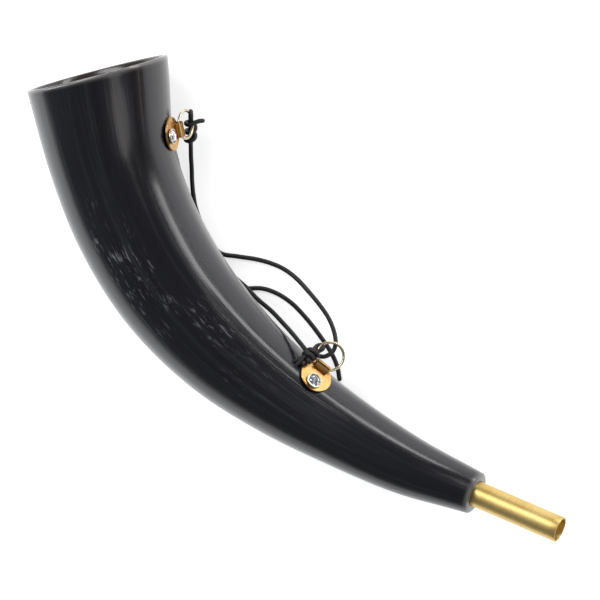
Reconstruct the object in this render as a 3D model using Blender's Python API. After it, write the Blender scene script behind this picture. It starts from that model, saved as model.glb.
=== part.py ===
"""Ox horn bugle lying on its side: a hollow horn, a brass blowing tube, two riveted
ring hangers and a black round cord knotted to both rings. Metres, +Z up, resting on z = 0."""

import math

import bmesh
import bpy
from mathutils import Matrix, Vector

# Horn: stations along its middle line as (x, y, outer radius), from bell to tip.
HORN_STATIONS = [
    (-0.1102, 0.1216, 0.0398),
    (-0.1031, 0.0759, 0.0354),
    (-0.0897, 0.0382, 0.0341),
    (-0.0690, 0.0025, 0.0326),
    (-0.0422, -0.0283, 0.0297),
    (-0.0114, -0.0538, 0.0254),
    (0.0226, -0.0760, 0.0208),
    (0.0593, -0.0948, 0.0168),
    (0.0984, -0.1085, 0.0118),
]
LIFT_START = 0.72        # share of the length where the tip leaves the ground
TIP_RISE = math.radians(16)
BELL_WALL = 0.0030
TIP_THICKENING = 0.013   # how much thicker the wall would be at the tip, before the bore
AIR_BORE = 0.0055        # radius of the drilled passage through the solid tip
BELL_CUT_AZIMUTH = math.radians(104.2)
BELL_CUT_RISE = math.radians(3.1)
BELL_CUT_FADE = 0.14     # share of the length over which sections turn to the bell cut
HORN_SIDES = 40
HORN_RINGS = 34

# Brass blowing tube, pressed into a socket in the tip.
TUBE_RADIUS = 0.00715
TUBE_WALL = 0.0008
TUBE_VISIBLE = 0.052
TUBE_INSERTED = 0.024

# Hanger: a folded sheet-metal plate with a rolled barrel that traps a round ring.
PLATE_RADIUS = 0.0093
PLATE_OFFSET = 0.0043    # disc centre from the rivet, towards the barrel
SHEET = 0.0005
FOLD_EDGE = 0.0060       # straight edge of the upper layer, from the rivet
STRAP_WIDTH = 0.0082
BARREL_OUTER = 0.0024
BARREL_BORE = 0.00188
BARREL_OFFSET = 0.0105   # barrel axis from the rivet
RING_RADIUS = 0.00765    # middle of the wire
RING_WIRE = 0.00080
RING_SAG = 0.0006        # how far the wire passes beyond the barrel axis at mid-barrel

# Rivet with a set crystal.
POST_RADIUS = 0.0015
POST_HEAD_RADIUS = 0.0036
POST_HEAD_HEIGHT = 0.0009
CAP_RADIUS = 0.0044
CAP_WALL = 0.0009
CAP_FLOOR = 0.0005
CAP_HEIGHT = 0.0014
CRYSTAL_HEIGHT = 0.0014

# Cord
CORD_RADIUS = 0.0013

# Clearances
GAP = 0.0003             # between pieces that touch
PLATE_SEAT = 0.0006      # flat plate over the curved horn, at the rivet

# Where each hanger sits: share of the horn's length, angle above level on the inner
# side of the curve, turn of the plate on its rivet, and the ring's tilt off the plate.
HANGERS = {
    "upper": (0.111, math.radians(12.8), math.radians(10), math.radians(8)),
    "lower": (0.659, math.radians(44), math.radians(0), math.radians(30)),
}

# Knots as (top, bottom, radius): the cord grips the ring near the top point.
KNOTS = {
    "upper": ((-0.0667, 0.0957, 0.0232), (-0.0632, 0.0807, 0.0120), 0.0042),
    "lower": ((0.0089, -0.0263, 0.0350), (0.0043, -0.0348, 0.0415), 0.0037),
}

# Middle line of the cord from the upper knot, under the horn's overhang and out along
# the ground, up through the lower ring and into the lower knot.
CORD_LONG_ROUTE = [
    (-0.0631, 0.0796, 0.0113),
    (-0.0635, 0.0739, 0.0085),
    (-0.0637, 0.0675, 0.0053),
    (-0.0639, 0.0606, 0.0030),
    (-0.0636, 0.0533, 0.0017),
    (-0.0623, 0.0454, 0.00135),
    (-0.0592, 0.0365, 0.00135),
    (-0.0547, 0.0270, 0.00135),
    (-0.0482, 0.0197, 0.00135),
    (-0.0383, 0.0179, 0.00135),
    (-0.0286, 0.0166, 0.00135),
    (-0.0201, 0.0145, 0.00135),
    (-0.0122, 0.0112, 0.0016),
    (-0.0047, 0.0059, 0.0030),
    (0.0025, -0.0010, 0.0060),
    (0.0087, -0.0072, 0.0105),
    (0.0146, -0.0136, 0.0170),
    (0.0186, -0.0201, 0.0235),
    (0.0204, -0.0261, 0.0285),
    (0.0193, -0.0308, 0.0308),
    (0.0152, -0.0337, 0.0322),
    (0.0108, -0.0334, 0.0335),
]

# The cord's other end: from the lower knot down to the ground, up along the horn's
# edge, round under it and back, ending free below the lower ring.
CORD_TAIL_ROUTE = [
    (0.0025, -0.0264, 0.0352),
    (-0.0029, -0.0225, 0.0292),
    (-0.0092, -0.0178, 0.0210),
    (-0.0177, -0.0112, 0.0128),
    (-0.0264, -0.0053, 0.0070),
    (-0.0332, 0.0010, 0.0046),
    (-0.0392, 0.0056, 0.0024),
    (-0.0451, 0.0102, 0.00135),
    (-0.0519, 0.0160, 0.00135),
    (-0.0581, 0.0230, 0.00135),
    (-0.0632, 0.0319, 0.00135),
    (-0.0666, 0.0409, 0.00135),
    (-0.0685, 0.0504, 0.00135),
    (-0.0702, 0.0594, 0.00135),
    (-0.0721, 0.0683, 0.00135),
    (-0.0744, 0.0772, 0.00135),
    (-0.0772, 0.0839, 0.00135),
    (-0.0817, 0.0873, 0.00135),
    (-0.0863, 0.0855, 0.00135),
    (-0.0883, 0.0805, 0.00135),
    (-0.0875, 0.0732, 0.00135),
    (-0.0841, 0.0626, 0.00135),
    (-0.0796, 0.0508, 0.00135),
    (-0.0751, 0.0402, 0.00135),
    (-0.0700, 0.0302, 0.00135),
    (-0.0638, 0.0207, 0.00135),
    (-0.0570, 0.0123, 0.00135),
    (-0.0502, 0.0056, 0.00135),
    (-0.0434, 0.0010, 0.00135),
    (-0.0338, 0.0000, 0.00135),
    (-0.0247, 0.0001, 0.00135),
    (-0.0162, -0.0026, 0.00135),
    (-0.0077, -0.0081, 0.00135),
    (0.0007, -0.0167, 0.00135),
    (0.0081, -0.0261, 0.00135),
    (0.0143, -0.0353, 0.00135),
    (0.0177, -0.0429, 0.00135),
    (0.0191, -0.0502, 0.00135),
]
CORD_STEP = 0.0072       # between the points of the finished cord


def material(name, colour, roughness, metallic=0.0):
    """A Principled material."""
    found = bpy.data.materials.get(name)
    if found:
        return found
    made = bpy.data.materials.new(name)
    made.use_nodes = True
    shader = made.node_tree.nodes["Principled BSDF"]
    shader.inputs["Base Color"].default_value = (*colour, 1)
    shader.inputs["Roughness"].default_value = roughness
    shader.inputs["Metallic"].default_value = metallic
    return made


def link(name, data, finish=None, parent=None):
    """A named object from its data, with a material and a parent."""
    made = bpy.data.objects.new(name, data)
    bpy.context.scene.collection.objects.link(made)
    if finish:
        data.materials.append(finish)
    if parent:
        made.parent = parent
    return made


def mesh_from(name, bm, sharp_angle=math.radians(35)):
    """A mesh from a bmesh, facing outwards and shaded smooth."""
    bmesh.ops.recalc_face_normals(bm, faces=bm.faces)
    mesh = bpy.data.meshes.new(name)
    bm.to_mesh(mesh)
    bm.free()
    mesh.shade_smooth()
    mesh.set_sharp_from_angle(angle=sharp_angle)
    return mesh


def cut(target, tool, operation="DIFFERENCE"):
    """Cut a tool out of a target, or join it on, with an exact Boolean."""
    tool.hide_render = True
    tool.display_type = "WIRE"
    change = target.modifiers.new(tool.name, "BOOLEAN")
    change.operation = operation
    change.solver = "EXACT"
    change.object = tool


def catmull_rom(points, share):
    """The point at a share (0 to 1) of a smooth curve through points of any width.
    Outside 0 to 1 the curve runs on straight."""
    last = len(points) - 1
    inside = min(max(share, 0.0), 1.0) * last
    i = min(int(inside), last - 1)
    u = inside - i

    def at(k):
        if k < 0:
            return [2 * a - b for a, b in zip(points[0], points[1])]
        if k > last:
            return [2 * a - b for a, b in zip(points[last], points[last - 1])]
        return points[k]

    p0, p1, p2, p3 = at(i - 1), at(i), at(i + 1), at(i + 2)
    here = []
    for a, b, c, d in zip(p0, p1, p2, p3):
        here.append(0.5 * (2 * b + (c - a) * u + (2 * a - 5 * b + 4 * c - d) * u * u
                           + (3 * b - a - 3 * c + d) * u ** 3))
    beyond = (share - min(max(share, 0.0), 1.0)) * last
    if beyond:
        slope = [0.5 * (c - a) for a, c in zip(p0, p2)]
        if beyond > 0:
            slope = [0.5 * (d - b) for b, d in zip(p1, p3)]
        here = [h + s * beyond for h, s in zip(here, slope)]
    return here


def plan_length():
    """Length of the horn's middle line in plan."""
    steps = 200
    points = [catmull_rom(HORN_STATIONS, i / steps) for i in range(steps + 1)]
    return sum(math.dist(a[:2], b[:2]) for a, b in zip(points, points[1:]))


HORN_LENGTH = plan_length()


def radius_at(share):
    """The horn's outer radius."""
    return catmull_rom(HORN_STATIONS, share)[2]


def bore_at(share):
    """The horn's inner radius: a growing wall, then the drilled bore."""
    wall = BELL_WALL + TIP_THICKENING * max(share, 0.0) ** 3
    return max(radius_at(share) - wall, AIR_BORE)


def height_at(share):
    """Height of the middle line: lying on the ground, then rising to the tip."""
    small = 0.002

    def resting(s):
        slope = (radius_at(s + small) - radius_at(s - small)) / (2 * small * HORN_LENGTH)
        return radius_at(s) * math.sqrt(1 + slope * slope)

    if share <= LIFT_START:
        return resting(share)
    start_slope = (resting(LIFT_START) - resting(LIFT_START - small)) / (small * HORN_LENGTH)
    run = (share - LIFT_START) * HORN_LENGTH
    whole = (1 - LIFT_START) * HORN_LENGTH
    gain = (math.tan(TIP_RISE) - start_slope) / whole
    if run <= whole:
        return resting(LIFT_START) + start_slope * run + 0.5 * gain * run * run
    over = run - whole
    return height_at(1.0) + math.tan(TIP_RISE) * over


def middle_at(share):
    """Point on the horn's middle line."""
    x, y, _ = catmull_rom(HORN_STATIONS, share)
    return Vector((x, y, height_at(share)))


def section_at(share):
    """Middle point, direction towards the tip, side towards the inner curve, and up."""
    small = 0.002
    along = (middle_at(share + small) - middle_at(share - small)).normalized()
    side = Vector((0, 0, 1)).cross(along).normalized()
    return middle_at(share), along, side, along.cross(side)


def horn_point(share, angle, radius):
    """A point round the horn's section, at an angle above level on its inner curve."""
    middle, _, side, up = section_at(share)
    return middle + radius(share) * (side * math.cos(angle) + up * math.sin(angle))


def bell_cut_share(angle, radius):
    """Where a line along the horn meets the plane of the bell's cut."""
    rise = math.cos(BELL_CUT_RISE)
    normal = Vector((rise * math.cos(BELL_CUT_AZIMUTH), rise * math.sin(BELL_CUT_AZIMUTH),
                     math.sin(BELL_CUT_RISE)))
    low, high = -0.08, 0.08
    for _ in range(45):
        half = (low + high) / 2
        if (horn_point(half, angle, radius) - middle_at(0)).dot(normal) > 0:
            low = half
        else:
            high = half
    return (low + high) / 2


def horn_skin(bm, radius):
    """Rings of vertices along one skin of the horn, from the bell's cut to the tip."""
    angles = [2 * math.pi * k / HORN_SIDES for k in range(HORN_SIDES)]
    starts = [bell_cut_share(a, radius) for a in angles]
    rings = []
    for i in range(HORN_RINGS + 1):
        share = i / HORN_RINGS
        fade = max(0.0, 1 - share / BELL_CUT_FADE) ** 2
        rings.append([bm.verts.new(horn_point(share + start * fade, a, radius))
                      for a, start in zip(angles, starts)])
    return rings


def make_horn(finish):
    """The hollow horn, open at both ends."""
    bm = bmesh.new()
    outer = horn_skin(bm, radius_at)
    inner = horn_skin(bm, bore_at)
    loop = outer + inner[::-1]
    for a, b in zip(loop, loop[1:] + loop[:1]):
        for k in range(HORN_SIDES):
            n = (k + 1) % HORN_SIDES
            bm.faces.new((a[k], a[n], b[n], b[k]))
    return link("horn_body", mesh_from("horn_body", bm), finish)


def lathe(name, profile, sides=24):
    """A turned solid about Z from a closed outline of (radius, height) points."""
    bm = bmesh.new()
    rows = []
    for r, z in profile:
        if r == 0:
            rows.append([bm.verts.new((0, 0, z))] * sides)
        else:
            rows.append([bm.verts.new((r * math.cos(2 * math.pi * k / sides),
                                       r * math.sin(2 * math.pi * k / sides), z))
                         for k in range(sides)])
    for a, b in zip(rows, rows[1:] + rows[:1]):
        for k in range(sides):
            n = (k + 1) % sides
            corners = list(dict.fromkeys((a[k], a[n], b[n], b[k])))
            if len(corners) > 2:
                bm.faces.new(corners)
    return mesh_from(name, bm)


def prism(name, outline, bottom, top):
    """A flat-ended solid from an outline of (x, y) points."""
    bm = bmesh.new()
    low = [bm.verts.new((x, y, bottom)) for x, y in outline]
    high = [bm.verts.new((x, y, top)) for x, y in outline]
    bm.faces.new(low)
    bm.faces.new(high)
    for i in range(len(outline)):
        n = (i + 1) % len(outline)
        bm.faces.new((low[i], low[n], high[n], high[i]))
    return mesh_from(name, bm)


def disc_outline(radius, centre, chord=None, sides=48):
    """A round outline, cut straight at y = chord where one is given."""
    points = [(radius * math.sin(2 * math.pi * k / sides),
               centre - radius * math.cos(2 * math.pi * k / sides)) for k in range(sides)]
    if chord is None:
        return points
    kept = [p for p in points if p[1] < chord - 0.0002]
    half = math.sqrt(radius ** 2 - (chord - centre) ** 2)
    right = [p for p in kept if p[0] >= 0]
    left = [p for p in kept if p[0] < 0]
    return right + [(half, chord), (-half, chord)] + left


def box_outline(x0, y0, x1, y1):
    """A rectangle."""
    return [(x0, y0), (x1, y0), (x1, y1), (x0, y1)]


def rod(name, radius, length, axis="X", sides=24):
    """A round bar centred on its own middle."""
    bm = bmesh.new()
    bmesh.ops.create_cone(bm, cap_ends=True, segments=sides, radius1=radius, radius2=radius,
                          depth=length)
    if axis == "X":
        bmesh.ops.rotate(bm, verts=bm.verts, matrix=Matrix.Rotation(math.pi / 2, 3, "Y"))
    return mesh_from(name, bm)


def torus(name, radius, wire, sides=40, wire_sides=10):
    """A round ring about Z."""
    bm = bmesh.new()
    rows = []
    for k in range(sides):
        a = 2 * math.pi * k / sides
        row = []
        for j in range(wire_sides):
            b = 2 * math.pi * j / wire_sides
            r = radius + wire * math.cos(b)
            row.append(bm.verts.new((r * math.cos(a), r * math.sin(a), wire * math.sin(b))))
        rows.append(row)
    for a, b in zip(rows, rows[1:] + rows[:1]):
        for j in range(wire_sides):
            n = (j + 1) % wire_sides
            bm.faces.new((a[j], a[n], b[n], b[j]))
    return mesh_from(name, bm, math.radians(80))


def make_tube(finish):
    """The blowing tube and the socket that takes it."""
    _, along, side, up = section_at(1.0)
    place = Matrix((side, up, along)).transposed().to_4x4()
    place.translation = middle_at(1.0)
    inner = TUBE_RADIUS - TUBE_WALL
    outline = [(inner, -TUBE_INSERTED), (TUBE_RADIUS, -TUBE_INSERTED),
               (TUBE_RADIUS, TUBE_VISIBLE), (inner, TUBE_VISIBLE)]
    tube = link("mouthpiece_tube", lathe("mouthpiece_tube", outline, 32), finish)
    tube.matrix_world = place
    socket_depth = TUBE_INSERTED + GAP
    socket = link("tip_socket", rod("tip_socket", TUBE_RADIUS + GAP, 2 * socket_depth, "Z", 32))
    socket.matrix_world = place
    return tube, socket


def hanger_frame(name, place):
    """An empty at the rivet: X along the horn, Y to the barrel, Z out of the horn."""
    share, angle, turn, _ = place
    small = 0.002
    here = horn_point(share, angle, radius_at)
    along = (horn_point(share + small, angle, radius_at)
             - horn_point(share - small, angle, radius_at)).normalized()
    around = (horn_point(share, angle - small, radius_at)
              - horn_point(share, angle + small, radius_at)).normalized()
    out = along.cross(around).normalized()
    around = out.cross(along)
    frame = bpy.data.objects.new(name, None)
    bpy.context.scene.collection.objects.link(frame)
    turned = Matrix((along, around, out)).transposed().to_4x4() @ Matrix.Rotation(turn, 4, "Z")
    turned.translation = here + out * PLATE_SEAT
    frame.matrix_world = turned
    return frame


def make_plate(name, frame, finish):
    """The folded plate: a full lower disc, a cut-off upper one and the rolled barrel."""
    plate = link(name, prism(name, disc_outline(PLATE_RADIUS, PLATE_OFFSET), 0, SHEET),
                 finish, frame)
    half = STRAP_WIDTH / 2
    slit = link(name + "_slit", prism(name + "_slit", box_outline(
        -half - 0.0004, BARREL_OFFSET, half + 0.0004, BARREL_OFFSET + 0.01), -0.001, 0.002),
        parent=frame)
    fold = link(name + "_fold", prism(name + "_fold", disc_outline(
        PLATE_RADIUS - 0.0001, PLATE_OFFSET, FOLD_EDGE), SHEET / 2, 2 * SHEET), parent=frame)
    strap = link(name + "_strap", prism(name + "_strap", box_outline(
        0.0001 - half, FOLD_EDGE - 0.001, half - 0.0001, BARREL_OFFSET), SHEET / 3,
        2 * SHEET - 0.00005), parent=frame)
    barrel = link(name + "_barrel", rod(name + "_barrel", BARREL_OUTER, STRAP_WIDTH), parent=frame)
    barrel.location = (0, BARREL_OFFSET, BARREL_OUTER)
    bore = link(name + "_bore", rod(name + "_bore", BARREL_BORE, 2 * STRAP_WIDTH), parent=frame)
    bore.location = barrel.location
    hole = link(name + "_hole", rod(name + "_hole", POST_RADIUS + GAP, 0.006, "Z"), parent=frame)
    cut(plate, slit)
    cut(plate, fold, "UNION")
    cut(plate, strap, "UNION")
    cut(plate, barrel, "UNION")
    cut(plate, bore)
    cut(plate, hole)
    return plate


def make_rivet(name, share, frame, metal, glass):
    """Cap, crystal and headed post; the post's head sits inside the horn."""
    floor_bottom = 2 * SHEET + GAP
    floor_top = floor_bottom + CAP_FLOOR
    rim = floor_bottom + CAP_HEIGHT
    hole = POST_RADIUS + GAP
    cap_inner = CAP_RADIUS - CAP_WALL
    link(name + "_rivet_cap", lathe(name + "_rivet_cap", [
        (hole, floor_bottom), (CAP_RADIUS - 0.0003, floor_bottom), (CAP_RADIUS, floor_top),
        (CAP_RADIUS - 0.0002, rim), (cap_inner, rim), (cap_inner, floor_top),
        (hole, floor_top)]), metal, frame)
    seat = floor_top + GAP
    girdle = cap_inner - GAP
    link(name + "_crystal", lathe(name + "_crystal", [
        (0, seat), (girdle, seat), (girdle, seat + 0.25 * CRYSTAL_HEIGHT),
        (0.86 * girdle, seat + 0.62 * CRYSTAL_HEIGHT), (0.52 * girdle, seat + CRYSTAL_HEIGHT),
        (0, seat + CRYSTAL_HEIGHT)], 12), glass, frame)
    inside = bore_at(share)
    wall = radius_at(share) - inside
    hollow = inside - math.sqrt(inside ** 2 - POST_HEAD_RADIUS ** 2)
    head_top = -(PLATE_SEAT + wall + hollow + 2 * GAP)
    link(name + "_rivet_post", lathe(name + "_rivet_post", [
        (0, floor_top), (POST_RADIUS, floor_top), (POST_RADIUS, head_top),
        (POST_HEAD_RADIUS, head_top), (POST_HEAD_RADIUS - 0.0003, head_top - POST_HEAD_HEIGHT),
        (0, head_top - POST_HEAD_HEIGHT)]), metal, frame)
    drill = link(name + "_drill", rod(name + "_drill", hole, 4 * wall, "Z"), parent=frame)
    return drill


def make_ring(name, tilt, frame, finish):
    """The ring, hung from an empty on the barrel's axis."""
    hinge = bpy.data.objects.new(name + "_hinge", None)
    bpy.context.scene.collection.objects.link(hinge)
    hinge.parent = frame
    hinge.location = (0, BARREL_OFFSET, BARREL_OUTER)
    hinge.rotation_euler = (tilt, 0, 0)
    ring = link(name, torus(name, RING_RADIUS, RING_WIRE), finish, hinge)
    ring.location = (0, RING_RADIUS - RING_SAG, 0)
    return ring


def make_knot(name, knot, ring, finish):
    """The body of a knot round the ring's wire."""
    top, bottom, radius = Vector(knot[0]), Vector(knot[1]), knot[2]
    bm = bmesh.new()
    bmesh.ops.create_uvsphere(bm, u_segments=16, v_segments=10, radius=1)
    half = (top - bottom).length / 2
    bmesh.ops.scale(bm, verts=bm.verts, vec=(radius, radius, half))
    made = link(name, mesh_from(name, bm), finish)
    turn = (top - bottom).to_track_quat("Z", "Y").to_matrix().to_4x4()
    turn.translation = (top + bottom) / 2
    made.matrix_world = turn
    passage = link(name + "_passage", torus(name + "_passage", RING_RADIUS, RING_WIRE + GAP + 0.0001))
    passage.parent = ring.parent
    passage.location = ring.location
    cut(made, passage)
    return made


def make_cord(name, route, finish):
    """A round cord along a smooth line through its route."""
    length = sum(math.dist(a, b) for a, b in zip(route, route[1:]))
    count = round(length / CORD_STEP)
    steps = 40 * count
    fine = [catmull_rom(route, i / steps) for i in range(steps + 1)]
    travelled = [0.0]
    for a, b in zip(fine, fine[1:]):
        travelled.append(travelled[-1] + math.dist(a, b))
    points, k = [], 0
    for i in range(count + 1):
        while k < steps and travelled[k] < travelled[-1] * i / count - 1e-9:
            k += 1
        points.append(fine[k])
    curve = bpy.data.curves.new(name, "CURVE")
    curve.dimensions = "3D"
    curve.bevel_depth = CORD_RADIUS
    curve.bevel_resolution = 2
    curve.use_fill_caps = True
    spline = curve.splines.new("POLY")
    spline.points.add(len(points) - 1)
    for point, place in zip(spline.points, points):
        point.co = (*place, 1)
    return link(name, curve, finish)


def build():
    """The whole bugle."""
    for old in list(bpy.data.objects):
        bpy.data.objects.remove(old)
    horn_finish = material("polished_horn", (0.016, 0.015, 0.019), 0.22)
    brass = material("brass", (0.68, 0.46, 0.12), 0.28, 1.0)
    gilt = material("gilt_sheet", (0.72, 0.47, 0.18), 0.25, 1.0)
    ring_finish = material("pale_gilt", (0.62, 0.52, 0.33), 0.25, 1.0)
    silver = material("silvered", (0.75, 0.73, 0.68), 0.2, 1.0)
    glass = material("crystal", (0.9, 0.92, 0.95), 0.05)
    cord_finish = material("black_cord", (0.012, 0.012, 0.013), 0.6)

    horn = make_horn(horn_finish)
    _, socket = make_tube(brass)
    cut(horn, socket)
    bpy.context.view_layer.update()
    for name, place in HANGERS.items():
        frame = hanger_frame(name + "_hanger", place)
        make_plate(name + "_hanger_plate", frame, gilt)
        drill = make_rivet(name, place[0], frame, silver, glass)
        cut(horn, drill)
        ring = make_ring(name + "_ring", place[3], frame, ring_finish)
        make_knot("cord_" + name + "_knot", KNOTS[name], ring, cord_finish)
    make_cord("cord_long_run", CORD_LONG_ROUTE, cord_finish)
    make_cord("cord_tail", CORD_TAIL_ROUTE, cord_finish)


build()
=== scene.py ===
"""Looks for a polished horn bugle lying on its side: horn, brass tube, ring hangers and cord.

Every shape repeats the sizes of the CAD model, in metres, in the same frame.
"""

import logging
import math
from collections.abc import Callable
from dataclasses import dataclass, field
from enum import Enum

import bpy
from mathutils import Matrix, Vector


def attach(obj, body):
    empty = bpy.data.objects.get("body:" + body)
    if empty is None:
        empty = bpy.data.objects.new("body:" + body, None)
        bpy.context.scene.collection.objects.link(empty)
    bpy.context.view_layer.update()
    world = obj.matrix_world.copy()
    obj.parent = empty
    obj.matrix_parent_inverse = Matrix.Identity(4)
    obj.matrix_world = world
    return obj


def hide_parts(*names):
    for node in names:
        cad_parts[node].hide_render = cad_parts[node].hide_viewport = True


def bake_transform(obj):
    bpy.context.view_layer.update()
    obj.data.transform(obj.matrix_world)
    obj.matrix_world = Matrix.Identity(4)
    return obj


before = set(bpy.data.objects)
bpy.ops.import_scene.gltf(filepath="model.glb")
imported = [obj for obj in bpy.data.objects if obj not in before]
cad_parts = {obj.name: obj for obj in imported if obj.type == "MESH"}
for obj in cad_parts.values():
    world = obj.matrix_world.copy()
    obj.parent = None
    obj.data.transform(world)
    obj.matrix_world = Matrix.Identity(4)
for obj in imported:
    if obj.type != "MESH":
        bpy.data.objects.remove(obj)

log = logging.getLogger("horn_bugle")

# Horn, as in the CAD model: (x, y, outer radius) along its middle line, bell to tip.
HORN_STATIONS = (
    (-0.1102, 0.1216, 0.0398), (-0.1031, 0.0759, 0.0354), (-0.0897, 0.0382, 0.0341),
    (-0.0690, 0.0025, 0.0326), (-0.0422, -0.0283, 0.0297), (-0.0114, -0.0538, 0.0254),
    (0.0226, -0.0760, 0.0208), (0.0593, -0.0948, 0.0168), (0.0984, -0.1085, 0.0118),
)
LIFT_START = 0.72
TIP_RISE = math.radians(16)
BELL_WALL = 0.0030
TIP_THICKENING = 0.013
AIR_BORE = 0.0055
BELL_CUT_AZIMUTH = math.radians(104.2)
BELL_CUT_RISE = math.radians(3.1)
BELL_CUT_FADE = 0.14

TUBE_RADIUS = 0.00715
TUBE_WALL = 0.0008
TUBE_VISIBLE = 0.052
TUBE_INSERTED = 0.024

PLATE_RADIUS = 0.0093
PLATE_OFFSET = 0.0043
SHEET = 0.0005
FOLD_EDGE = 0.0060
STRAP_WIDTH = 0.0082
BARREL_OUTER = 0.0024
BARREL_BORE = 0.00188
BARREL_OFFSET = 0.0105
RING_RADIUS = 0.00765
RING_WIRE = 0.00080
RING_SAG = 0.0006
POST_RADIUS = 0.0015
CAP_RADIUS = 0.0044
CAP_WALL = 0.0009
CAP_FLOOR = 0.0005
CAP_HEIGHT = 0.0014
CRYSTAL_HEIGHT = 0.0014
CORD_RADIUS = 0.0013
GAP = 0.0003
PLATE_SEAT = 0.0006
CORD_LIE = 0.00135           # height of the cord's middle line where it lies on the ground

# The cord's way, knot to knot and along its tail. Points given as (x, y) lie on the ground.
CORD_LONG_ROUTE = (
    (-0.0631, 0.0796, 0.0113), (-0.0635, 0.0739, 0.0085), (-0.0637, 0.0675, 0.0053),
    (-0.0639, 0.0606, 0.0030), (-0.0636, 0.0533, 0.0017),
    *((x, y, CORD_LIE) for x, y in (
        (-0.0623, 0.0454), (-0.0592, 0.0365), (-0.0547, 0.0270), (-0.0482, 0.0197),
        (-0.0383, 0.0179), (-0.0286, 0.0166), (-0.0201, 0.0145),
    )),
    (-0.0122, 0.0112, 0.0016), (-0.0047, 0.0059, 0.0030), (0.0025, -0.0010, 0.0060),
    (0.0087, -0.0072, 0.0105), (0.0146, -0.0136, 0.0170), (0.0186, -0.0201, 0.0235),
    (0.0204, -0.0261, 0.0285), (0.0193, -0.0308, 0.0308), (0.0152, -0.0337, 0.0322),
    (0.0108, -0.0334, 0.0335),
)
CORD_TAIL_ROUTE = (
    (0.0025, -0.0264, 0.0352), (-0.0029, -0.0225, 0.0292), (-0.0092, -0.0178, 0.0210),
    (-0.0177, -0.0112, 0.0128), (-0.0264, -0.0053, 0.0070), (-0.0332, 0.0010, 0.0046),
    (-0.0392, 0.0056, 0.0024),
    *((x, y, CORD_LIE) for x, y in (
        (-0.0451, 0.0102), (-0.0519, 0.0160), (-0.0581, 0.0230), (-0.0632, 0.0319),
        (-0.0666, 0.0409), (-0.0685, 0.0504), (-0.0702, 0.0594), (-0.0721, 0.0683),
        (-0.0744, 0.0772), (-0.0772, 0.0839), (-0.0817, 0.0873), (-0.0863, 0.0855),
        (-0.0883, 0.0805), (-0.0875, 0.0732), (-0.0841, 0.0626), (-0.0796, 0.0508),
        (-0.0751, 0.0402), (-0.0700, 0.0302), (-0.0638, 0.0207), (-0.0570, 0.0123),
        (-0.0502, 0.0056), (-0.0434, 0.0010), (-0.0338, 0.0000), (-0.0247, 0.0001),
        (-0.0162, -0.0026), (-0.0077, -0.0081), (0.0007, -0.0167), (0.0081, -0.0261),
        (0.0143, -0.0353), (0.0177, -0.0429), (0.0191, -0.0502),
    )),
)
UPPER_LEADER_POINTS = 5      # route points of the long run that belong to the upper knot
LOWER_LEADER_POINTS = 8      # and to the lower knot, at the long run's other end
TAIL_LEADER_POINTS = 6       # and of the tail

# Finer meshes than the CAD model's
HORN_SIDES = 144
HORN_RINGS = 200
INNER_RINGS = 60
FLUTE_DEPTH = 0.0005
RIM_ROUND = 0.0007

# Camera of the photograph
CAMERA_TARGET = Vector((0.0008, -0.0030, 0.030))
CAMERA_DISTANCE = 1.8
CAMERA_TILT = math.radians(10)
CAMERA_AZIMUTH = math.atan2(0.606, 0.795)
CAMERA_LENS = 196.36

STEP = 0.002                 # small share or angle over which directions are measured
BELL_CUT_REACH = 0.08        # share on both sides of 0 within which the bell's cut is looked for
HALVINGS = 40
SOCKET_PLAY = 0.002          # depth of the tip's socket beyond the tube's end
SOFT_EDGE = 0.00012          # width of a sheet's softened edge
STRAP_PLAY = 0.0004          # gap beside the strap
STRAP_ROOT = 0.0012          # length of strap that runs on under the fold
CAP_BOTTOM = 2 * SHEET + GAP
CLAWS = 8
CLAW_RADIUS = 0.00030
FACETS = 16
DISC_SIDES = 96
CORD_STEP = 0.0008
KNOT_STEP = 0.0006
METAL_BUMP = 0.00008
FLOOR_HALF = 3.0
FLOOR_DROP = 0.00005
BLACK, WHITE, UNIT = (0, 0, 0), (1, 1, 1), (1.0, 1.0, 1.0)
LIGHT_TARGET = (0.0, 0.0, 0.03)
LIGHTS = (  # name, place, width and height, power in watts, colour
    ("key", (-0.55, 0.75, 1.15), (0.9, 0.5), 9.0, WHITE),
    ("left_strip", (-1.0, 0.15, 0.55), (0.12, 0.9), 5.0, (0.90, 0.94, 1.0)),
    ("fill", (0.9, -0.6, 1.0), (0.8, 0.8), 3.0, WHITE),
    ("inner_strip", (0.75, 0.80, 0.35), (1.1, 0.25), 6.0, WHITE),
)

Point = tuple[float, ...]
Triple = tuple[float, float, float]
Pairs = list[tuple[float, float]]
Profile = Callable[[float], float]
Material = bpy.types.Material
Socket = bpy.types.NodeSocket


class Body(Enum):
    """Names of the CAD bodies that pieces ride on."""

    HORN = "horn"
    UPPER_RING = "upper_ring_set"
    LOWER_RING = "lower_ring_set"


class Slot(Enum):
    """Names of the record's material slots."""

    HORN = "polished_horn"
    BRASS = "brass"
    GILT = "gilt_sheet"
    RING = "pale_gilt"
    SILVER = "silvered"
    CRYSTAL = "crystal"
    CORD = "black_cord"


@dataclass(frozen=True)
class Metal:
    """A plated or plain metal.

    Attributes:
        light: colour of the clean metal.
        dark: colour of its duller patches.
        roughness: middle roughness.
        scale: how fine its brushing is, in waves per metre.
    """

    light: Triple
    dark: Triple
    roughness: float
    scale: float = 700.0


@dataclass(frozen=True)
class HangerPlace:
    """Where a hanger sits on the horn.

    Attributes:
        name: "upper" or "lower".
        body: CAD body of its ring.
        share: share of the horn's length.
        angle: angle above level on the inner side of the curve.
        turn: turn of the plate about its rivet.
        tilt: the ring's tilt off the plate.
    """

    name: str
    body: Body
    share: float
    angle: float
    turn: float
    tilt: float


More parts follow.
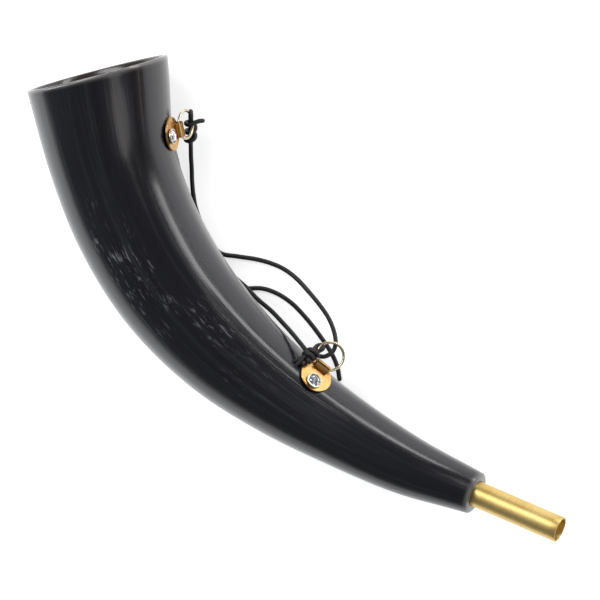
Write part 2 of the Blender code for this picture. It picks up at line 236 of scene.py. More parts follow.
@dataclass(frozen=True)
class KnotPlace:
    """Ends and girth of one knot's body, from the wire down to the standing cord."""

    top: Point
    bottom: Point
    turns: float
    wrap_wide: float
    wrap_deep: float
    stub: float
    tails: tuple[Point, ...] = ()


HANGERS = (
    HangerPlace("upper", Body.UPPER_RING, 0.111, math.radians(12.8), math.radians(10),
                math.radians(8)),
    HangerPlace("lower", Body.LOWER_RING, 0.659, math.radians(44), 0.0, math.radians(30)),
)
KNOTS = {
    "upper": KnotPlace((-0.0667, 0.0957, 0.0232), (-0.0632, 0.0807, 0.0120), 2.6, 0.0031,
                       0.0026, 0.0052),
    "lower": KnotPlace((0.0089, -0.0263, 0.0350), (0.0043, -0.0348, 0.0415), 2.2, 0.0030,
                       0.0024, 0.0016,
                       ((-0.0016, -0.0360, 0.0395), (-0.0012, -0.0392, 0.0408))),
}


@dataclass
class Shape:
    """Vertices and faces of a mesh, with an optional UV for each corner."""

    points: list[Vector] = field(default_factory=list)
    faces: list[tuple[int, ...]] = field(default_factory=list)
    uvs: list[Pairs] = field(default_factory=list)

    def row(self, points: list[Vector]) -> list[int]:
        """Add a row of points.

        Args:
            points: the places to add.

        Returns:
            Their indices.
        """
        start = len(self.points)
        self.points.extend(points)
        return list(range(start, start + len(points)))

    def bridge(self, a: list[int], b: list[int], va: float = 0.0, vb: float = 0.0,
               flip: bool = False) -> None:
        """Join two closed rows with quads, with UVs that run round and along.

        Args:
            a: first row.
            b: second row.
            va: V of the first row.
            vb: V of the second row.
            flip: whether the faces look the other way.
        """
        count = len(a)
        for k in range(count):
            n = (k + 1) % count
            face = [a[k], a[n], b[n], b[k]]
            uv = [(k / count, va), ((k + 1) / count, va), ((k + 1) / count, vb), (k / count, vb)]
            if flip:
                face.reverse()
                uv.reverse()
            self.faces.append(tuple(face))
            self.uvs.append(uv)

    def facet(self, *corners: int) -> None:
        """Add one face that needs no UVs."""
        self.faces.append(corners)
        self.uvs.append([(0.0, 0.0)] * len(corners))

    def close(self, row: list[int], flip: bool = False) -> None:
        """Close a row with one flat face."""
        self.facet(*(row[::-1] if flip else row))

    def placed(self, place: Matrix) -> "Shape":
        """The same shape, moved by a matrix."""
        return Shape([place @ p for p in self.points], self.faces, self.uvs)

    def merge(self, other: "Shape") -> None:
        """Add another shape."""
        start = len(self.points)
        self.points.extend(other.points)
        self.faces.extend(tuple(i + start for i in face) for face in other.faces)
        self.uvs.extend(other.uvs)

    def mesh(self, name: str, finish: Material, sharp: float = 35.0,
             flat: bool = False) -> bpy.types.Mesh:
        """Make the mesh.

        Args:
            name: the mesh's name.
            finish: its material.
            sharp: angle in degrees above which an edge stays sharp.
            flat: whether faces are left flat.

        Returns:
            A Blender mesh.
        """
        made = bpy.data.meshes.new(name)
        made.from_pydata([tuple(p) for p in self.points], [], self.faces)
        layer = made.uv_layers.new(name="UVMap")
        flat_uvs = [value for uv in self.uvs for pair in uv for value in pair]
        layer.data.foreach_set("uv", flat_uvs)
        made.materials.append(finish)
        if not flat:
            made.shade_smooth()
            made.set_sharp_from_angle(angle=math.radians(sharp))
        made.validate()
        return made


def catmull_rom(points: tuple[Point, ...], share: float) -> list[float]:
    """The point at a share of a smooth curve, running on straight outside 0 to 1.

    Args:
        points: the points that the curve passes through.
        share: 0 at the first point, 1 at the last.

    Returns:
        The place, with as many numbers as the points have.
    """
    last = len(points) - 1
    held = min(max(share, 0.0), 1.0)
    i = min(int(held * last), last - 1)
    u = held * last - i

    def at(k: int) -> list[float] | Point:
        """A point, or the one that mirrors it beyond an end."""
        if k < 0:
            return [2 * a - b for a, b in zip(points[0], points[1])]
        if k > last:
            return [2 * a - b for a, b in zip(points[last], points[last - 1])]
        return points[k]

    p0, p1, p2, p3 = at(i - 1), at(i), at(i + 1), at(i + 2)
    here = [0.5 * (2 * b + (c - a) * u + (2 * a - 5 * b + 4 * c - d) * u * u
                   + (3 * b - a - 3 * c + d) * u ** 3)
            for a, b, c, d in zip(p0, p1, p2, p3)]
    beyond = (share - held) * last
    if beyond:
        near, far = (p1, p3) if beyond > 0 else (p0, p2)
        here = [h + 0.5 * (f - n) * beyond for h, n, f in zip(here, near, far)]
    return here


def plan_length() -> float:
    """Length of the horn's middle line in plan."""
    steps = 200
    points = [catmull_rom(HORN_STATIONS, i / steps) for i in range(steps + 1)]
    return sum(math.dist(a[:2], b[:2]) for a, b in zip(points, points[1:]))


HORN_LENGTH = plan_length()


def radius_at(share: float) -> float:
    """The horn's outer radius."""
    return catmull_rom(HORN_STATIONS, share)[2]


def bore_at(share: float) -> float:
    """The horn's inner radius."""
    wall = BELL_WALL + TIP_THICKENING * max(share, 0.0) ** 3
    return max(radius_at(share) - wall, AIR_BORE)


def resting_height(share: float) -> float:
    """Height of the middle line where the horn lies on the ground."""
    slope = (radius_at(share + STEP) - radius_at(share - STEP)) / (2 * STEP * HORN_LENGTH)
    return radius_at(share) * math.sqrt(1 + slope * slope)


def height_at(share: float) -> float:
    """Height of the middle line, on the ground and then rising to the tip."""
    if share <= LIFT_START:
        return resting_height(share)
    base = resting_height(LIFT_START)
    slope = (base - resting_height(LIFT_START - STEP)) / (STEP * HORN_LENGTH)
    whole = (1 - LIFT_START) * HORN_LENGTH
    gain = (math.tan(TIP_RISE) - slope) / whole
    run = (share - LIFT_START) * HORN_LENGTH
    if run <= whole:
        return base + slope * run + 0.5 * gain * run * run
    return height_at(1.0) + math.tan(TIP_RISE) * (run - whole)


def middle_at(share: float) -> Vector:
    """Point on the horn's middle line."""
    x, y, _ = catmull_rom(HORN_STATIONS, share)
    return Vector((x, y, height_at(share)))


def section_at(share: float) -> tuple[Vector, Vector, Vector, Vector]:
    """Middle point, direction to the tip, side to the inner curve, and up."""
    along = (middle_at(share + STEP) - middle_at(share - STEP)).normalized()
    side = Vector((0, 0, 1)).cross(along).normalized()
    return middle_at(share), along, side, along.cross(side)


def horn_point(share: float, angle: float, radius: Profile) -> Vector:
    """A point on a skin of the horn."""
    middle, _, side, up = section_at(share)
    return middle + radius(share) * (side * math.cos(angle) + up * math.sin(angle))


def bell_cut_share(angle: float, radius: Profile) -> float:
    """Where a line along the horn meets the plane of the bell's cut."""
    rise = math.cos(BELL_CUT_RISE)
    normal = Vector((rise * math.cos(BELL_CUT_AZIMUTH), rise * math.sin(BELL_CUT_AZIMUTH),
                     math.sin(BELL_CUT_RISE)))
    low, high = -BELL_CUT_REACH, BELL_CUT_REACH
    for _ in range(HALVINGS):
        half = (low + high) / 2
        if (horn_point(half, angle, radius) - middle_at(0)).dot(normal) > 0:
            low = half
        else:
            high = half
    return (low + high) / 2


def smooth(value: float, low: float, high: float) -> float:
    """Smoothstep of a value between two limits."""
    t = min(max((value - low) / (high - low), 0.0), 1.0)
    return t * t * (3 - 2 * t)


def carving(share: float, angle: float) -> float:
    """How far the hand-worked surface lies inside the true round.

    Args:
        share: share of the horn's length.
        angle: angle round its section.

    Returns:
        A depth in metres, from 0 to about 1 mm.
    """
    degrees = math.degrees(angle) % 360
    middle = smooth(share, 0.36, 0.46) * (1 - smooth(share, 0.68, 0.80))
    folds = 0.0
    for line, wide in ((55.0 + 12 * (share - 0.5), 7.0), (81.0 - 8 * (share - 0.5), 6.5)):
        folds += math.exp(-((degrees - line) / wide) ** 2)
    flat = math.exp(-((degrees - 30) / 12) ** 2) * smooth(share, 0.3, 0.5)
    wander = 0.5 + 0.25 * math.sin(9 * share + 2 * angle) + 0.25 * math.sin(23 * share - 3 * angle)
    fade = 1 - smooth(share, 0.93, 0.99)
    return FLUTE_DEPTH * fade * (0.75 * middle * folds + 0.4 * flat + 0.35 * wander)


@dataclass
class HornBody:
    """The horn and its brass blowing tube."""

    horn_finish: Material
    brass_finish: Material

    def build(self) -> None:
        """Make both pieces."""
        add_piece("horn_skin", self.horn_shape().mesh("horn_skin", self.horn_finish, 50),
                  Body.HORN, Slot.HORN, "horn_body")
        tube = lathe(self.tube_outline(), 96).placed(tip_frame())
        add_piece("blowing_tube", tube.mesh("blowing_tube", self.brass_finish, 60),
                  Body.HORN, Slot.BRASS, "mouthpiece_tube")

    def horn_shape(self) -> Shape:
        """Outer skin with its carving, rounded rim, inner skin and socket, closed all round."""
        angles = [2 * math.pi * k / HORN_SIDES for k in range(HORN_SIDES)]
        shape = Shape()
        outer = self.skin(angles, radius_at, HORN_RINGS, True, 1.0)
        socket_share = 1 - (TUBE_INSERTED + SOCKET_PLAY) / HORN_LENGTH
        inner = self.skin(angles, bore_at, INNER_RINGS, False, socket_share)
        tip = tip_frame()
        for depth in (TUBE_INSERTED + GAP, 0.0):
            inner.append([tip @ p for p in circle(TUBE_RADIUS + GAP, HORN_SIDES, -depth)])
        first, last = outer[0], outer[-1]
        last_round = [p + (tip.translation - p).normalized() * RIM_ROUND for p in last]
        outer[-1] = [p - tip.col[2].xyz * RIM_ROUND * 0.8 for p in last]
        outer.append(last_round)
        soft = RIM_ROUND / (inner[0][0] - first[0]).length
        outer_lip = [a.lerp(b, soft) for a, b in zip(first, inner[0])]
        inner_lip = [b.lerp(a, soft) for a, b in zip(first, inner[0])]
        outer[0] = [a.lerp(b, 0.5) for a, b in zip(first, outer[1])]
        inner[0] = [a.lerp(b, 0.15) for a, b in zip(inner[0], inner[1])]
        rows = [shape.row(r) for r in outer]
        inner_rows = [shape.row(r) for r in inner]
        lip, lip_in = shape.row(outer_lip), shape.row(inner_lip)
        for i, (a, b) in enumerate(zip(rows, rows[1:])):
            shape.bridge(a, b, i / HORN_RINGS, (i + 1) / HORN_RINGS, flip=True)
        shape.bridge(rows[-1], inner_rows[-1], 1.01, 1.03, flip=True)
        for i, (a, b) in enumerate(zip(inner_rows, inner_rows[1:])):
            shape.bridge(a, b, -0.1 - i / INNER_RINGS, -0.1 - (i + 1) / INNER_RINGS)
        shape.bridge(rows[0], lip, 0.0, -0.01)
        shape.bridge(lip, lip_in, -0.01, -0.06)
        shape.bridge(lip_in, inner_rows[0], -0.06, -0.1)
        return shape

    def skin(self, angles: list[float], radius: Profile, count: int,
             carved: bool, end: float) -> list[list[Vector]]:
        """Rows of points along one skin of the horn.

        Args:
            angles: angles round the section.
            radius: the skin's radius along the horn.
            count: rows to make, less one.
            carved: whether the surface carving is taken off.
            end: the share where the skin ends.

        Returns:
            Rows from the bell's cut to the end.
        """
        starts = [bell_cut_share(a, radius) for a in angles]
        rows = []
        for i in range(count + 1):
            share = end * i / count
            fade = max(0.0, 1 - share / BELL_CUT_FADE) ** 2
            row = []
            for a, start in zip(angles, starts):
                here = share + start * fade
                middle, _, side, up = section_at(here)
                out = side * math.cos(a) + up * math.sin(a)
                depth = carving(here, a) if carved and i else 0.0
                row.append(middle + (radius(here) - depth) * out)
            rows.append(row)
        return rows

    def tube_outline(self) -> Pairs:
        """Outline of the tube's wall, with a rounded lip."""
        inner = TUBE_RADIUS - TUBE_WALL
        half = TUBE_WALL / 2
        middle = TUBE_RADIUS - half
        outline = [(inner, -TUBE_INSERTED), (TUBE_RADIUS, -TUBE_INSERTED)]
        outline += [(TUBE_RADIUS, TUBE_VISIBLE * k / 12) for k in range(12)]
        for k in range(7):
            a = math.pi * k / 6
            outline.append((middle + half * math.cos(a), TUBE_VISIBLE - half + half * math.sin(a)))
        outline += [(inner, TUBE_VISIBLE * k / 4) for k in (3, 2, 1, 0)]
        return outline


def axes_frame(x: Vector, y: Vector, z: Vector, origin: Vector) -> Matrix:
    """A frame from its three axes and its origin."""
    made = Matrix((x, y, z)).transposed().to_4x4()
    made.translation = origin
    return made


def tip_frame() -> Matrix:
    """The frame of the horn's flat tip: Z runs out along the tube."""
    middle, along, side, up = section_at(1.0)
    return axes_frame(side, up, along, middle)


def hanger_frame(place: HangerPlace) -> Matrix:
    """The frame at a rivet: X along the horn, Y to the barrel, Z out of the horn."""

    def skin(share: float = 0.0, angle: float = 0.0) -> Vector:
        """A point of the horn's skin near the rivet."""
        return horn_point(place.share + share, place.angle + angle, radius_at)

    along = (skin(STEP) - skin(-STEP)).normalized()
    around = (skin(angle=-STEP) - skin(angle=STEP)).normalized()
    out = along.cross(around).normalized()
    turned = (axes_frame(along, out.cross(along), out, Vector())
              @ Matrix.Rotation(place.turn, 4, "Z"))
    turned.translation = skin() + out * PLATE_SEAT
    return turned


def circle(radius: float, sides: int, z: float, turn: float = 0.0) -> list[Vector]:
    """Points round a circle about Z, turned by a share of one side."""
    angles = [2 * math.pi * (k + turn) / sides for k in range(sides)]
    return [Vector((radius * math.cos(a), radius * math.sin(a), z)) for a in angles]


def lathe(outline: Pairs, sides: int) -> Shape:
    """A turned shape about Z from a closed outline.

    Args:
        outline: (radius, height) points.
        sides: points round it.

    Returns:
        The shape, closed.
    """
    shape = Shape()
    rows = [shape.row(circle(r, sides, z)) for r, z in outline]
    count = len(rows)
    for i, row in enumerate(rows):
        shape.bridge(row, rows[(i + 1) % count], i / count, (i + 1) / count)
    return shape


def prism(outline: Pairs, bottom: float, top: float) -> Shape:
    """A flat plate of any outline with softened edges.

    Args:
        outline: (x, y) points, anticlockwise.
        bottom: its lower height.
        top: its upper height.

    Returns:
        The closed shape.
    """
    count = len(outline)
    inset = []
    for i, (x, y) in enumerate(outline):
        px, py = outline[i - 1]
        nx, ny = outline[(i + 1) % count]
        before = Vector((x - px, y - py)).normalized()
        after = Vector((nx - x, ny - y)).normalized()
        inward = Vector((-before.y - after.y, before.x + after.x))
        scale = SOFT_EDGE * 2 / max(inward.length_squared, 0.6)
        inset.append((x + inward.x * scale, y + inward.y * scale))
    shape = Shape()
    rows = [shape.row([Vector((x, y, z)) for x, y in edge])
            for edge, z in ((inset, bottom), (outline, bottom + SOFT_EDGE), (outline, top - SOFT_EDGE),
                            (inset, top))]
    for a, b in zip(rows, rows[1:]):
        shape.bridge(a, b)
    shape.close(rows[0], flip=True)
    shape.close(rows[-1])
    return shape


def torus(radius: float, wire: float, sides: int = 112, wire_sides: int = 20) -> Shape:
    """A round ring about Z."""
    outline = [(radius + wire * math.cos(2 * math.pi * j / wire_sides),
                wire * math.sin(2 * math.pi * j / wire_sides)) for j in range(wire_sides)]
    return lathe(outline, sides)


def tube_along(path: list[Vector], radius: float, sides: int = 18) -> Shape:
    """A round cord along a line, with domed ends.

    Args:
        path: points of its middle line.
        radius: its radius.
        sides: points round it.

    Returns:
        The closed shape, with U round the cord and V along it in metres.
    """
    shape = Shape()
    last = len(path) - 1
    tangents = [(path[min(i + 1, last)] - path[max(i - 1, 0)]).normalized()
                for i in range(last + 1)]
    start, end = tangents[0], tangents[-1]
    dome = [(math.sin(a), math.cos(a)) for a in (math.radians(70), math.radians(35))]
    stations = [(path[0] - start * radius * s, start, c * radius) for s, c in dome]
    stations += [(point, tangent, radius) for point, tangent in zip(path, tangents)]
    stations += [(path[-1] + end * radius * s, end, c * radius) for s, c in dome[::-1]]
    turns = [2 * math.pi * j / sides for j in range(sides)]
    side = start.orthogonal().normalized()
    rows, travelled = [], [0.0]
    for k, (point, tangent, here) in enumerate(stations):
        side = (side - tangent * side.dot(tangent)).normalized()
        other = tangent.cross(side)
        rows.append(shape.row([point + here * (side * math.cos(a) + other * math.sin(a))
                               for a in turns]))
        if k:
            travelled.append(travelled[-1] + (point - stations[k - 1][0]).length)
    for i, (a, b) in enumerate(zip(rows, rows[1:])):
        shape.bridge(a, b, travelled[i], travelled[i + 1])
    shape.close(rows[0], flip=True)
    shape.close(rows[-1])
    return shape


def smooth_path(points: list[Vector] | tuple[Point, ...], step: float = CORD_STEP) -> list[Vector]:
    """Evenly spaced points along the smooth curve through some points."""
    route = tuple(tuple(p) for p in points)
    fine_count = 60 * (len(route) - 1)
    fine = [Vector(catmull_rom(route, i / fine_count)) for i in range(fine_count + 1)]
    travelled = [0.0]
    for a, b in zip(fine, fine[1:]):
        travelled.append(travelled[-1] + (b - a).length)
    count = max(2, round(travelled[-1] / step))
    made, k = [], 0
    for i in range(count + 1):
        wanted = travelled[-1] * i / count
        while k < fine_count and travelled[k] < wanted - 1e-9:
            k += 1
        made.append(fine[k])
    return made


def put(name: str, data: bpy.types.ID) -> bpy.types.Object:
    """Make an object of some data and link it to the scene."""
    made = bpy.data.objects.new(name, data)
    bpy.context.scene.collection.objects.link(made)
    return made


def add_piece(name: str, mesh: bpy.types.Mesh, body: Body | None, slot: Slot,
              *nodes: str) -> bpy.types.Object:
    """Put a mesh in the scene as a piece.

    Args:
        name: the piece's name.
        mesh: its mesh, already in place.
        body: the body that it rides on, or None, where it rides on no body.
        slot: the record slot of its finish; not used.
        nodes: CAD nodes that it stands for.

    Returns:
        The object.
    """
    made = put(name, mesh)
    if nodes:
        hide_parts(*nodes)
    if body:
        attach(made, body.value)
    log.info("%s: %d faces", name, len(mesh.polygons))
    return made


def claw_group(finish: Material) -> bpy.types.NodeTree:
    """Geometry Nodes group that sets round claws on a circle.

    Args:
        finish: the claws' material.

    Returns:
        A group with inputs Count, Circle Radius, Claw Radius and Height.
    """
    group = bpy.data.node_groups.new("bezel_claws", "GeometryNodeTree")
    face = group.interface
    face.new_socket("Geometry", in_out="INPUT", socket_type="NodeSocketGeometry")
    count = face.new_socket("Count", in_out="INPUT", socket_type="NodeSocketInt")
    count.default_value = CLAWS
    for label, value in (("Circle Radius", 0.004), ("Claw Radius", 0.0004), ("Height", 0.002)):
        face.new_socket(label, in_out="INPUT", socket_type="NodeSocketFloat").default_value = value
    face.new_socket("Geometry", in_out="OUTPUT", socket_type="NodeSocketGeometry")
    nodes = group.nodes
    given = nodes.new("NodeGroupInput")
    made = nodes.new("NodeGroupOutput")
    loop = nodes.new("GeometryNodeMeshCircle")
    ball = nodes.new("GeometryNodeMeshUVSphere")
    ball.inputs["Segments"].default_value = 14
    ball.inputs["Rings"].default_value = 9
    instance = nodes.new("GeometryNodeInstanceOnPoints")
    move = nodes.new("GeometryNodeTransform")
    lift = nodes.new("ShaderNodeCombineXYZ")
    stretch = nodes.new("GeometryNodeTransform")
    stretch.inputs["Scale"].default_value = (1.0, 1.0, 1.7)
    realize = nodes.new("GeometryNodeRealizeInstances")
    smooth_shade = nodes.new("GeometryNodeSetShadeSmooth")
    paint = nodes.new("GeometryNodeSetMaterial")
    paint.inputs["Material"].default_value = finish
    for source, output, target, entry in (
            (given, "Count", loop, "Vertices"), (given, "Circle Radius", loop, "Radius"),
            (given, "Claw Radius", ball, "Radius"), (given, "Height", lift, "Z"),
            (ball, "Mesh", stretch, "Geometry"), (loop, "Mesh", instance, "Points"),
            (stretch, "Geometry", instance, "Instance"),
            (instance, "Instances", move, "Geometry"), (lift, "Vector", move, "Translation"),
            (move, "Geometry", realize, "Geometry"),
            (realize, "Geometry", smooth_shade, "Geometry"),
            (smooth_shade, "Geometry", paint, "Geometry"),
            (paint, "Geometry", made, "Geometry")):
        group.links.new(source.outputs[output], target.inputs[entry])
    return group


def claws_mesh(group: bpy.types.NodeTree, name: str, values: dict[str, float]) -> bpy.types.Mesh:
    """Run the claw group and keep its mesh.

    Args:
        group: the node group.
        name: name of the mesh.
        values: its inputs by name.

    Returns:
        The realized mesh, about the origin.
    """
    holder = put(name + "_maker", bpy.data.meshes.new(name + "_seed"))
    change = holder.modifiers.new("claws", "NODES")
    change.node_group = group
    for item in group.interface.items_tree:
        if item.item_type == "SOCKET" and item.in_out == "INPUT" and item.name in values:
            change[item.identifier] = values[item.name]
    bpy.context.view_layer.update()
    graph = bpy.context.evaluated_depsgraph_get()
    made = bpy.data.meshes.new_from_object(holder.evaluated_get(graph))
    made.name = name
    holder.modifiers.remove(change)
    bpy.data.objects.remove(holder)
    return made


@dataclass
class Hanger:
    """A riveted plate with its crystal rivet and swinging ring."""

    place: HangerPlace
    gilt: Material
    ring_finish: Material
    silver: Material
    glass: Material
    claws: bpy.types.NodeTree

    def build(self) -> None:
        """Make the plate, bezel, claws, crystal and ring."""
        name = self.place.name
        rivet = hanger_frame(self.place)
        self.add("folded_plate", self.plate(), rivet, self.gilt, Slot.GILT, "hanger_plate", 40)
        self.add("bezel_cup", self.cup(), rivet, self.silver, Slot.SILVER, "rivet_cap", 40)
        self.add("cut_crystal", self.crystal(), rivet, self.glass, Slot.CRYSTAL, "crystal", 5,
                 flat=True)
        mesh = claws_mesh(self.claws, name + "_bezel_claws", {
            "Count": CLAWS, "Circle Radius": CAP_RADIUS - CAP_WALL, "Claw Radius": CLAW_RADIUS,
            "Height": CAP_BOTTOM + CAP_HEIGHT - 0.0001})
        mesh.transform(rivet)
        add_piece(name + "_bezel_claws", mesh, Body.HORN, Slot.SILVER)
        ring = torus(RING_RADIUS, RING_WIRE).placed(ring_frame(self.place))
        add_piece(name + "_round_ring", ring.mesh(name + "_round_ring", self.ring_finish, 80),
                  self.place.body, Slot.RING, name + "_ring")

    def add(self, label: str, shape: Shape, rivet: Matrix, finish: Material,
            slot: Slot, node: str, sharp: float, flat: bool = False) -> None:
        """Place one fixed piece of the hanger."""
        name = f"{self.place.name}_{label}"
        add_piece(name, shape.placed(rivet).mesh(name, finish, sharp, flat), Body.HORN, slot,
                  f"{self.place.name}_{node}")

    def plate(self) -> Shape:
        """Slit lower disc, straight-edged upper layer, strap and rolled barrel."""

        def topped(side_points: Pairs, top: Pairs) -> Pairs:
            """An outline with new points between its right side and its left."""
            right = [p for p in side_points if p[0] >= 0]
            return right + top + [p for p in side_points if p[0] < 0]

        half = STRAP_WIDTH / 2
        slit = half + STRAP_PLAY
        turns = [2 * math.pi * k / DISC_SIDES for k in range(DISC_SIDES)]
        disc = [(PLATE_RADIUS * math.sin(a), PLATE_OFFSET - PLATE_RADIUS * math.cos(a))
                for a in turns]
        disc = [(x, y) for x, y in disc if abs(x) >= slit or y <= BARREL_OFFSET]
        reach = PLATE_OFFSET + math.sqrt(PLATE_RADIUS ** 2 - slit ** 2)
        shape = prism(topped(disc, [(slit, reach), (slit, BARREL_OFFSET),
                                    (-slit, BARREL_OFFSET), (-slit, reach)]), 0.0, SHEET)
        edge = math.sqrt(PLATE_RADIUS ** 2 - (FOLD_EDGE - PLATE_OFFSET) ** 2)
        upper = topped([p for p in disc if p[1] < FOLD_EDGE - 0.0002],
                       [(edge, FOLD_EDGE), (-edge, FOLD_EDGE)])
        shape.merge(prism(upper, SHEET * 0.9, 2 * SHEET))
        root = FOLD_EDGE - STRAP_ROOT
        strap = [(-half, root), (half, root), (half, BARREL_OFFSET), (-half, BARREL_OFFSET)]
        shape.merge(prism(strap, SHEET * 0.9, 2 * SHEET - 0.00005))
        shape.merge(self.barrel(half))
        return shape

    def barrel(self, half: float) -> Shape:
        """The strap's end, rolled into a tube that leaves a seam under its edge."""
        turns = [math.radians(90 - 340 * k / 40) for k in range(41)]
        loop = [(BARREL_OFFSET + r * math.cos(a), BARREL_OUTER + r * math.sin(a))
                for r, way in ((BARREL_OUTER, turns), (BARREL_BORE, turns[::-1])) for a in way]
        shape = Shape()
        rows = [shape.row([Vector((x, y, z)) for y, z in loop])
                for x in (-half, -half + SOFT_EDGE, half - SOFT_EDGE, half)]
        for a, b in zip(rows, rows[1:]):
            shape.bridge(a, b)
        last = len(loop) - 1
        for row, way in ((rows[0], -1), (rows[-1], 1)):
            for k in range(len(turns) - 1):
                shape.facet(*(row[k], row[k + 1], row[last - 1 - k], row[last - k])[::way])
        return shape

    def cup(self) -> Shape:
        """The rivet's bezel, a shallow cup with a rolled rim."""
        floor, rim = CAP_BOTTOM + CAP_FLOOR, CAP_BOTTOM + CAP_HEIGHT
        hole, inner = POST_RADIUS + GAP, CAP_RADIUS - CAP_WALL
        return lathe([(hole, CAP_BOTTOM), (CAP_RADIUS - 0.0005, CAP_BOTTOM),
                      (CAP_RADIUS - 0.0001, CAP_BOTTOM + 0.0003), (CAP_RADIUS, floor),
                      (CAP_RADIUS - 0.0001, rim - 0.0003), (CAP_RADIUS - 0.0002, rim - 0.0001),
                      (inner + 0.0001, rim), (inner, rim - 0.0001), (inner, floor),
                      (hole, floor)], 72)

    def crystal(self) -> Shape:
        """A cut stone: girdle, two rows of crown facets and a flat table."""
        seat = CAP_BOTTOM + CAP_FLOOR + GAP
        girdle = CAP_RADIUS - CAP_WALL - GAP
        levels = ((0.6 * girdle, 0.0, 0.5), (girdle, 0.16, 0.0), (girdle, 0.26, 0.0),
                  (0.80 * girdle, 0.70, 0.5), (0.50 * girdle, 1.0, 0.0))
        shape = Shape()
        rows = [shape.row(circle(r, FACETS, seat + z * CRYSTAL_HEIGHT, turn))
                for r, z, turn in levels]
        for i, (a, b) in enumerate(zip(rows, rows[1:])):
            turned, next_turned = levels[i][2], levels[i + 1][2]
            for k in range(FACETS):
                n = (k + 1) % FACETS
                if turned == next_turned:
                    shape.facet(a[k], a[n], b[n], b[k])
                elif next_turned:
                    shape.facet(a[k], a[n], b[k])
                    shape.facet(b[k], a[n], b[n])
                else:
                    shape.facet(a[k], b[n], b[k])
                    shape.facet(a[k], a[n], b[n])
        shape.close(rows[0], flip=True)
        shape.close(rows[-1])
        return shape


def ring_frame(place: HangerPlace) -> Matrix:
    """The ring's own frame: its middle, with Z square to its plane."""
    hinge = Matrix.Translation((0, BARREL_OFFSET, BARREL_OUTER)) @ Matrix.Rotation(place.tilt, 4, "X")
    return hanger_frame(place) @ hinge @ Matrix.Translation((0, RING_RADIUS - RING_SAG, 0))


@dataclass
class Cord:
    """The cord: two knots with their leaders, and the two stretches that lie free."""

    finish: Material

    def build(self) -> None:
        long_route = [Vector(p) for p in CORD_LONG_ROUTE]
        tail_route = [Vector(p) for p in CORD_TAIL_ROUTE]
        upper = self.knot_piece(HANGERS[0], [long_route[:UPPER_LEADER_POINTS]])
        lower = self.knot_piece(HANGERS[1], [long_route[::-1][:LOWER_LEADER_POINTS],
                                             tail_route[:TAIL_LEADER_POINTS]])
        first, last = UPPER_LEADER_POINTS - 1, len(long_route) - LOWER_LEADER_POINTS + 1
        self.stretch("cord_long_stretch", long_route[first:last], "cord_long_run", "knot",
                     [upper, lower])
        self.stretch("cord_tail_stretch", tail_route[TAIL_LEADER_POINTS - 1:], "cord_tail",
                     "bare", [])

    def stretch(self, name: str, route: list[Vector], node: str, far_end: str,
                pieces: list[bpy.types.Object]) -> None:
        """A free stretch of the cord, which stays on the ground with the horn."""
        path = smooth_path(route)
        mesh = tube_along(path, CORD_RADIUS).mesh(name, self.finish, 80)
        made = add_piece(name, mesh, Body.HORN, Slot.CORD, node)

    def knot_piece(self, place: HangerPlace, leaders: list[list[Vector]]) -> bpy.types.Object:
        """A knot tied round a ring, with the leaders that run from it to the ground.

        Args:
            place: the hanger whose ring it is tied to.
            leaders: route points of each leader, from the knot outwards.

        Returns:
            The piece, which rides on no body.
        """
        name = f"{place.name}_tied_knot"
        knot = KNOTS[place.name]
        shape = Shape()
        path = self.knot_path(place, knot, leaders[0])
        shape.merge(tube_along(path, CORD_RADIUS * 0.97))
        for leader in leaders[1:]:
            entry = [Vector(knot.bottom).lerp(Vector(knot.top), 0.45)]
            shape.merge(tube_along(smooth_path(entry + leader[1:]), CORD_RADIUS))
        for tail in knot.tails:
            start = Vector(knot.bottom).lerp(Vector(knot.top), 0.25)
            bend = start.lerp(Vector(tail), 0.5) + Vector((0, 0, 0.0006))
            shape.merge(tube_along(smooth_path([start, bend, Vector(tail)]), CORD_RADIUS * 0.9))
        made = add_piece(name, shape.mesh(name, self.finish, 80), None, Slot.CORD,
                         f"cord_{place.name}_knot")
        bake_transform(made)
        return made

    def knot_path(self, place: HangerPlace, knot: KnotPlace, leader: list[Vector]) -> list[Vector]:
        """Middle line of a leader, the hitch over the wire, the wraps and the stub.

        Args:
            place: the hanger whose ring it is tied to.
            knot: the knot's sizes.
            leader: route points from the knot outwards.

        Returns:
            The smooth line.
        """
        ring = ring_frame(place)
        top, bottom = Vector(knot.top), Vector(knot.bottom)
        centre, normal = ring.translation, ring.col[2].xyz.normalized()
        outward = (top - centre) - normal * (top - centre).dot(normal)
        wire = centre + outward.normalized() * RING_RADIUS
        up = (wire - bottom).normalized()
        tangent = normal.cross(outward).normalized()
        deep = (tangent - up * tangent.dot(up)).normalized()
        wide = deep.cross(up)
        height = (wire - bottom).length
        clear = CORD_RADIUS + RING_WIRE + 0.0001
        strand = CORD_RADIUS * 0.9

        def at(x: float, y: float, z: float) -> Vector:
            """A place given across, through and up the knot."""
            return bottom + wide * x + deep * y + up * z

        points = [at(-strand, 0, height * 0.28), at(-strand, 0, height * 0.6)]
        for k in range(7):
            a = math.pi * (1 - k / 6)
            points.append(at(clear * math.cos(a), 0.0, height + clear * math.sin(a)))
        points += [at(strand, 0, height * 0.6), at(strand, 0, height * 0.22)]
        steps = round(knot.turns * 10)
        low, high = height * 0.12, height - clear - CORD_RADIUS
        for k in range(steps + 1):
            a = 2 * math.pi * knot.turns * k / steps
            points.append(at(knot.wrap_wide * math.cos(a), knot.wrap_deep * math.sin(a),
                             low + (high - low) * k / steps))
        a = 2 * math.pi * knot.turns
        out = wide * math.cos(a + 1.2) + deep * math.sin(a + 1.2)
        points.append(points[-1] + out * knot.stub * 0.55 + up * 0.0006)
        points.append(points[-2] + out * knot.stub + up * 0.0004)
        return smooth_path(leader[::-1] + points, KNOT_STEP)


